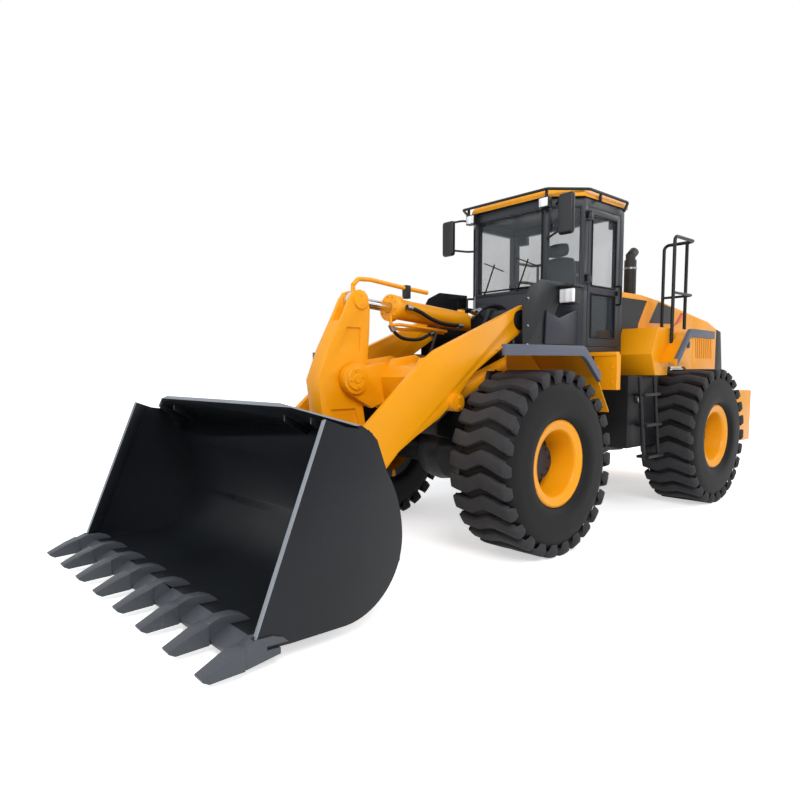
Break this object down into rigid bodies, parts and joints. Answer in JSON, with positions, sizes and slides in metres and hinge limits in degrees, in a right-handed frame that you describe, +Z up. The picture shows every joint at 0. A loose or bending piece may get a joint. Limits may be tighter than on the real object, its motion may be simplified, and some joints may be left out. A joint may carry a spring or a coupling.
{
  "type": "articulated wheel loader",
  "caption": "Articulated wheel loader with a Z-bar loading gear, toothed bucket, hinged frames, enclosed cab and rear engine hood.",
  "frame": {"origin": "on the ground under the middle of the machine's overall length, on its middle plane", "axes": "+X forwards to the bucket, +Y to the machine's left, +Z up"},
  "size_m": [8.576, 3.034, 3.469],
  "materials": {
    "body_paint": "semi-gloss yellow-orange enamel",
    "work_gear_paint": "semi-gloss yellow-orange enamel over castings and thick plate",
    "frame_paint": "satin black enamel",
    "bucket_paint": "satin blue-black enamel",
    "bucket_edge_steel": "grey wear steel, scuffed",
    "cab_paint": "satin slate-grey enamel",
    "tyre_rubber": "ribbed black rubber",
    "rim_paint": "semi-gloss yellow-orange enamel",
    "chrome_rod": "ground hard chrome",
    "window_glass": "clear tinted safety glass",
    "lamp_lens": "clear lamp glass in a black housing",
    "seat_vinyl": "dark vinyl",
    "black_plastic": "moulded black plastic",
    "exhaust_steel": "heat-darkened paint",
    "engine_paint": "dull painted cast iron"
  },
  "bodies": {
    "rear_frame": {"rear_frame": "frame_paint", "rear_axle": "frame_paint", "engine_block": "engine_paint", "hood": "body_paint", "radiator_guard": "frame_paint", "counterweight": "body_paint", "side_decks": "body_paint", "rear_fenders": "body_paint", "side_steps": "frame_paint", "guard_rails": "frame_paint", "cab_base": "cab_paint", "cab_frame": "cab_paint", "cab_roof": "body_paint", "cab_glass": "window_glass", "driver_station": "seat_vinyl", "mirrors": "black_plastic", "work_lamps": "lamp_lens", "exhaust": "exhaust_steel"},
    "front_frame": {"front_frame": "frame_paint", "front_axle": "frame_paint", "front_fenders": "body_paint", "headlamps": "lamp_lens"},
    "cab_door": {"door_frame": "cab_paint", "door_glass": "window_glass"},
    "boom": {"boom": "work_gear_paint"},
    "bell_crank": {"bell_crank": "work_gear_paint"},
    "dump_link": {"dump_link": "work_gear_paint"},
    "bucket": {"bucket": "bucket_paint", "bucket_edge": "bucket_edge_steel"},
    "tilt_barrel": {"tilt_barrel": "work_gear_paint"},
    "tilt_rod": {"tilt_rod": "chrome_rod"},
    "lift_barrels": {"lift_barrels": "work_gear_paint"},
    "lift_rods": {"lift_rods": "chrome_rod"},
    "steer_barrel_left": {"steer_barrel_left": "frame_paint"},
    "steer_rod_left": {"steer_rod_left": "chrome_rod"},
    "steer_barrel_right": {"steer_barrel_right": "frame_paint"},
    "steer_rod_right": {"steer_rod_right": "chrome_rod"},
    "wheel_front_left": {"tyre_front_left": "tyre_rubber", "rim_front_left": "rim_paint"},
    "wheel_front_right": {"tyre_front_right": "tyre_rubber", "rim_front_right": "rim_paint"},
    "wheel_rear_left": {"tyre_rear_left": "tyre_rubber", "rim_rear_left": "rim_paint"},
    "wheel_rear_right": {"tyre_rear_right": "tyre_rubber", "rim_rear_right": "rim_paint"}
  },
  "joints": [
    {"name": "articulation", "type": "hinge", "parent": "rear_frame", "child": "front_frame", "pos_m": [-0.748, 0, 0.94], "axis": [0, 0, 1], "range_deg": [-38, 38]},
    {"name": "boom_lift", "type": "hinge", "parent": "front_frame", "child": "boom", "pos_m": [0.522, 0, 2.1], "axis": [0, -1, 0], "range_deg": [-4, 80]},
    {"name": "bucket_tilt", "type": "hinge", "parent": "boom", "child": "bucket", "pos_m": [2.792, 0, 0.405], "axis": [0, 1, 0], "range_deg": [-42, 125]},
    {"name": "crank_pivot", "type": "hinge", "parent": "boom", "child": "bell_crank", "pos_m": [2.212, 0, 1.548], "axis": [0, -1, 0], "range_deg": [-7.87, 23.41]},
    {"name": "link_pivot", "type": "hinge", "parent": "bucket", "child": "dump_link", "pos_m": [2.802, 0, 0.77], "axis": [0, -1, 0], "range_deg": [-29.02, 86.35]},
    {"name": "tilt_barrel_pivot", "type": "hinge", "parent": "boom", "child": "tilt_barrel", "pos_m": [0.522, 0, 2.1], "axis": [0, -1, 0], "range_deg": [-2.59, 0.88]},
    {"name": "tilt_rod_slide", "type": "slide", "parent": "tilt_barrel", "child": "tilt_rod", "axis": [0.9967, 0, 0.0813], "range_m": [-0.2692, 0.0908]},
    {"name": "lift_barrel_pivot", "type": "hinge", "parent": "front_frame", "child": "lift_barrels", "pos_m": [0.852, 0, 1.54], "axis": [0, -1, 0], "range_deg": [-4.53, 90.45]},
    {"name": "lift_rod_slide", "type": "slide", "parent": "lift_barrels", "child": "lift_rods", "axis": [0.9463, 0, -0.3233], "range_m": [-0.0408, 0.8063]},
    {"name": "door_hinge", "type": "hinge", "parent": "rear_frame", "child": "cab_door", "pos_m": [-0.413, 0.778, 2.58], "axis": [0, 0, 1], "range_deg": [-80, 0]},
    {"name": "steer_barrel_left_pivot", "type": "hinge", "parent": "rear_frame", "child": "steer_barrel_left", "pos_m": [-1.598, 0.445, 0.93], "axis": [0, 0, 1], "range_deg": [-5.49, 5.49]},
    {"name": "steer_rod_left_slide", "type": "slide", "parent": "steer_barrel_left", "child": "steer_rod_left", "axis": [0.9985, -0.0538, 0], "range_m": [-0.2589, 0.2589]},
    {"name": "steer_barrel_right_pivot", "type": "hinge", "parent": "rear_frame", "child": "steer_barrel_right", "pos_m": [-1.598, -0.445, 0.93], "axis": [0, 0, 1], "range_deg": [-5.49, 5.49]},
    {"name": "steer_rod_right_slide", "type": "slide", "parent": "steer_barrel_right", "child": "steer_rod_right", "axis": [0.9985, 0.0538, 0], "range_m": [-0.2589, 0.2589]},
    {"name": "wheel_front_left_spin", "type": "hinge", "parent": "front_frame", "child": "wheel_front_left", "pos_m": [0.912, 1.075, 0.8085], "axis": [0, 1, 0], "continuous": true},
    {"name": "wheel_front_right_spin", "type": "hinge", "parent": "front_frame", "child": "wheel_front_right", "pos_m": [0.912, -1.075, 0.8085], "axis": [0, 1, 0], "continuous": true},
    {"name": "wheel_rear_left_spin", "type": "hinge", "parent": "rear_frame", "child": "wheel_rear_left", "pos_m": [-2.408, 1.075, 0.8085], "axis": [0, 1, 0], "continuous": true},
    {"name": "wheel_rear_right_spin", "type": "hinge", "parent": "rear_frame", "child": "wheel_rear_right", "pos_m": [-2.408, -1.075, 0.8085], "axis": [0, 1, 0], "continuous": true}
  ],
  "couplings": [
    {"joint": "crank_pivot", "follows": "bucket_tilt", "ratio": 0.187},
    {"joint": "link_pivot", "follows": "bucket_tilt", "ratio": 0.69},
    {"joint": "tilt_barrel_pivot", "follows": "bucket_tilt", "ratio": -0.020642},
    {"joint": "tilt_rod_slide", "follows": "bucket_tilt", "m_per_rad": -0.12318},
    {"joint": "lift_barrel_pivot", "follows": "boom_lift", "ratio": 1.1293},
    {"joint": "lift_rod_slide", "follows": "boom_lift", "m_per_rad": 0.57711},
    {"joint": "steer_barrel_left_pivot", "follows": "articulation", "ratio": 0.14325},
    {"joint": "steer_rod_left_slide", "follows": "articulation", "m_per_rad": -0.38962},
    {"joint": "steer_barrel_right_pivot", "follows": "articulation", "ratio": 0.14325},
    {"joint": "steer_rod_right_slide", "follows": "articulation", "m_per_rad": 0.38962}
  ]
}
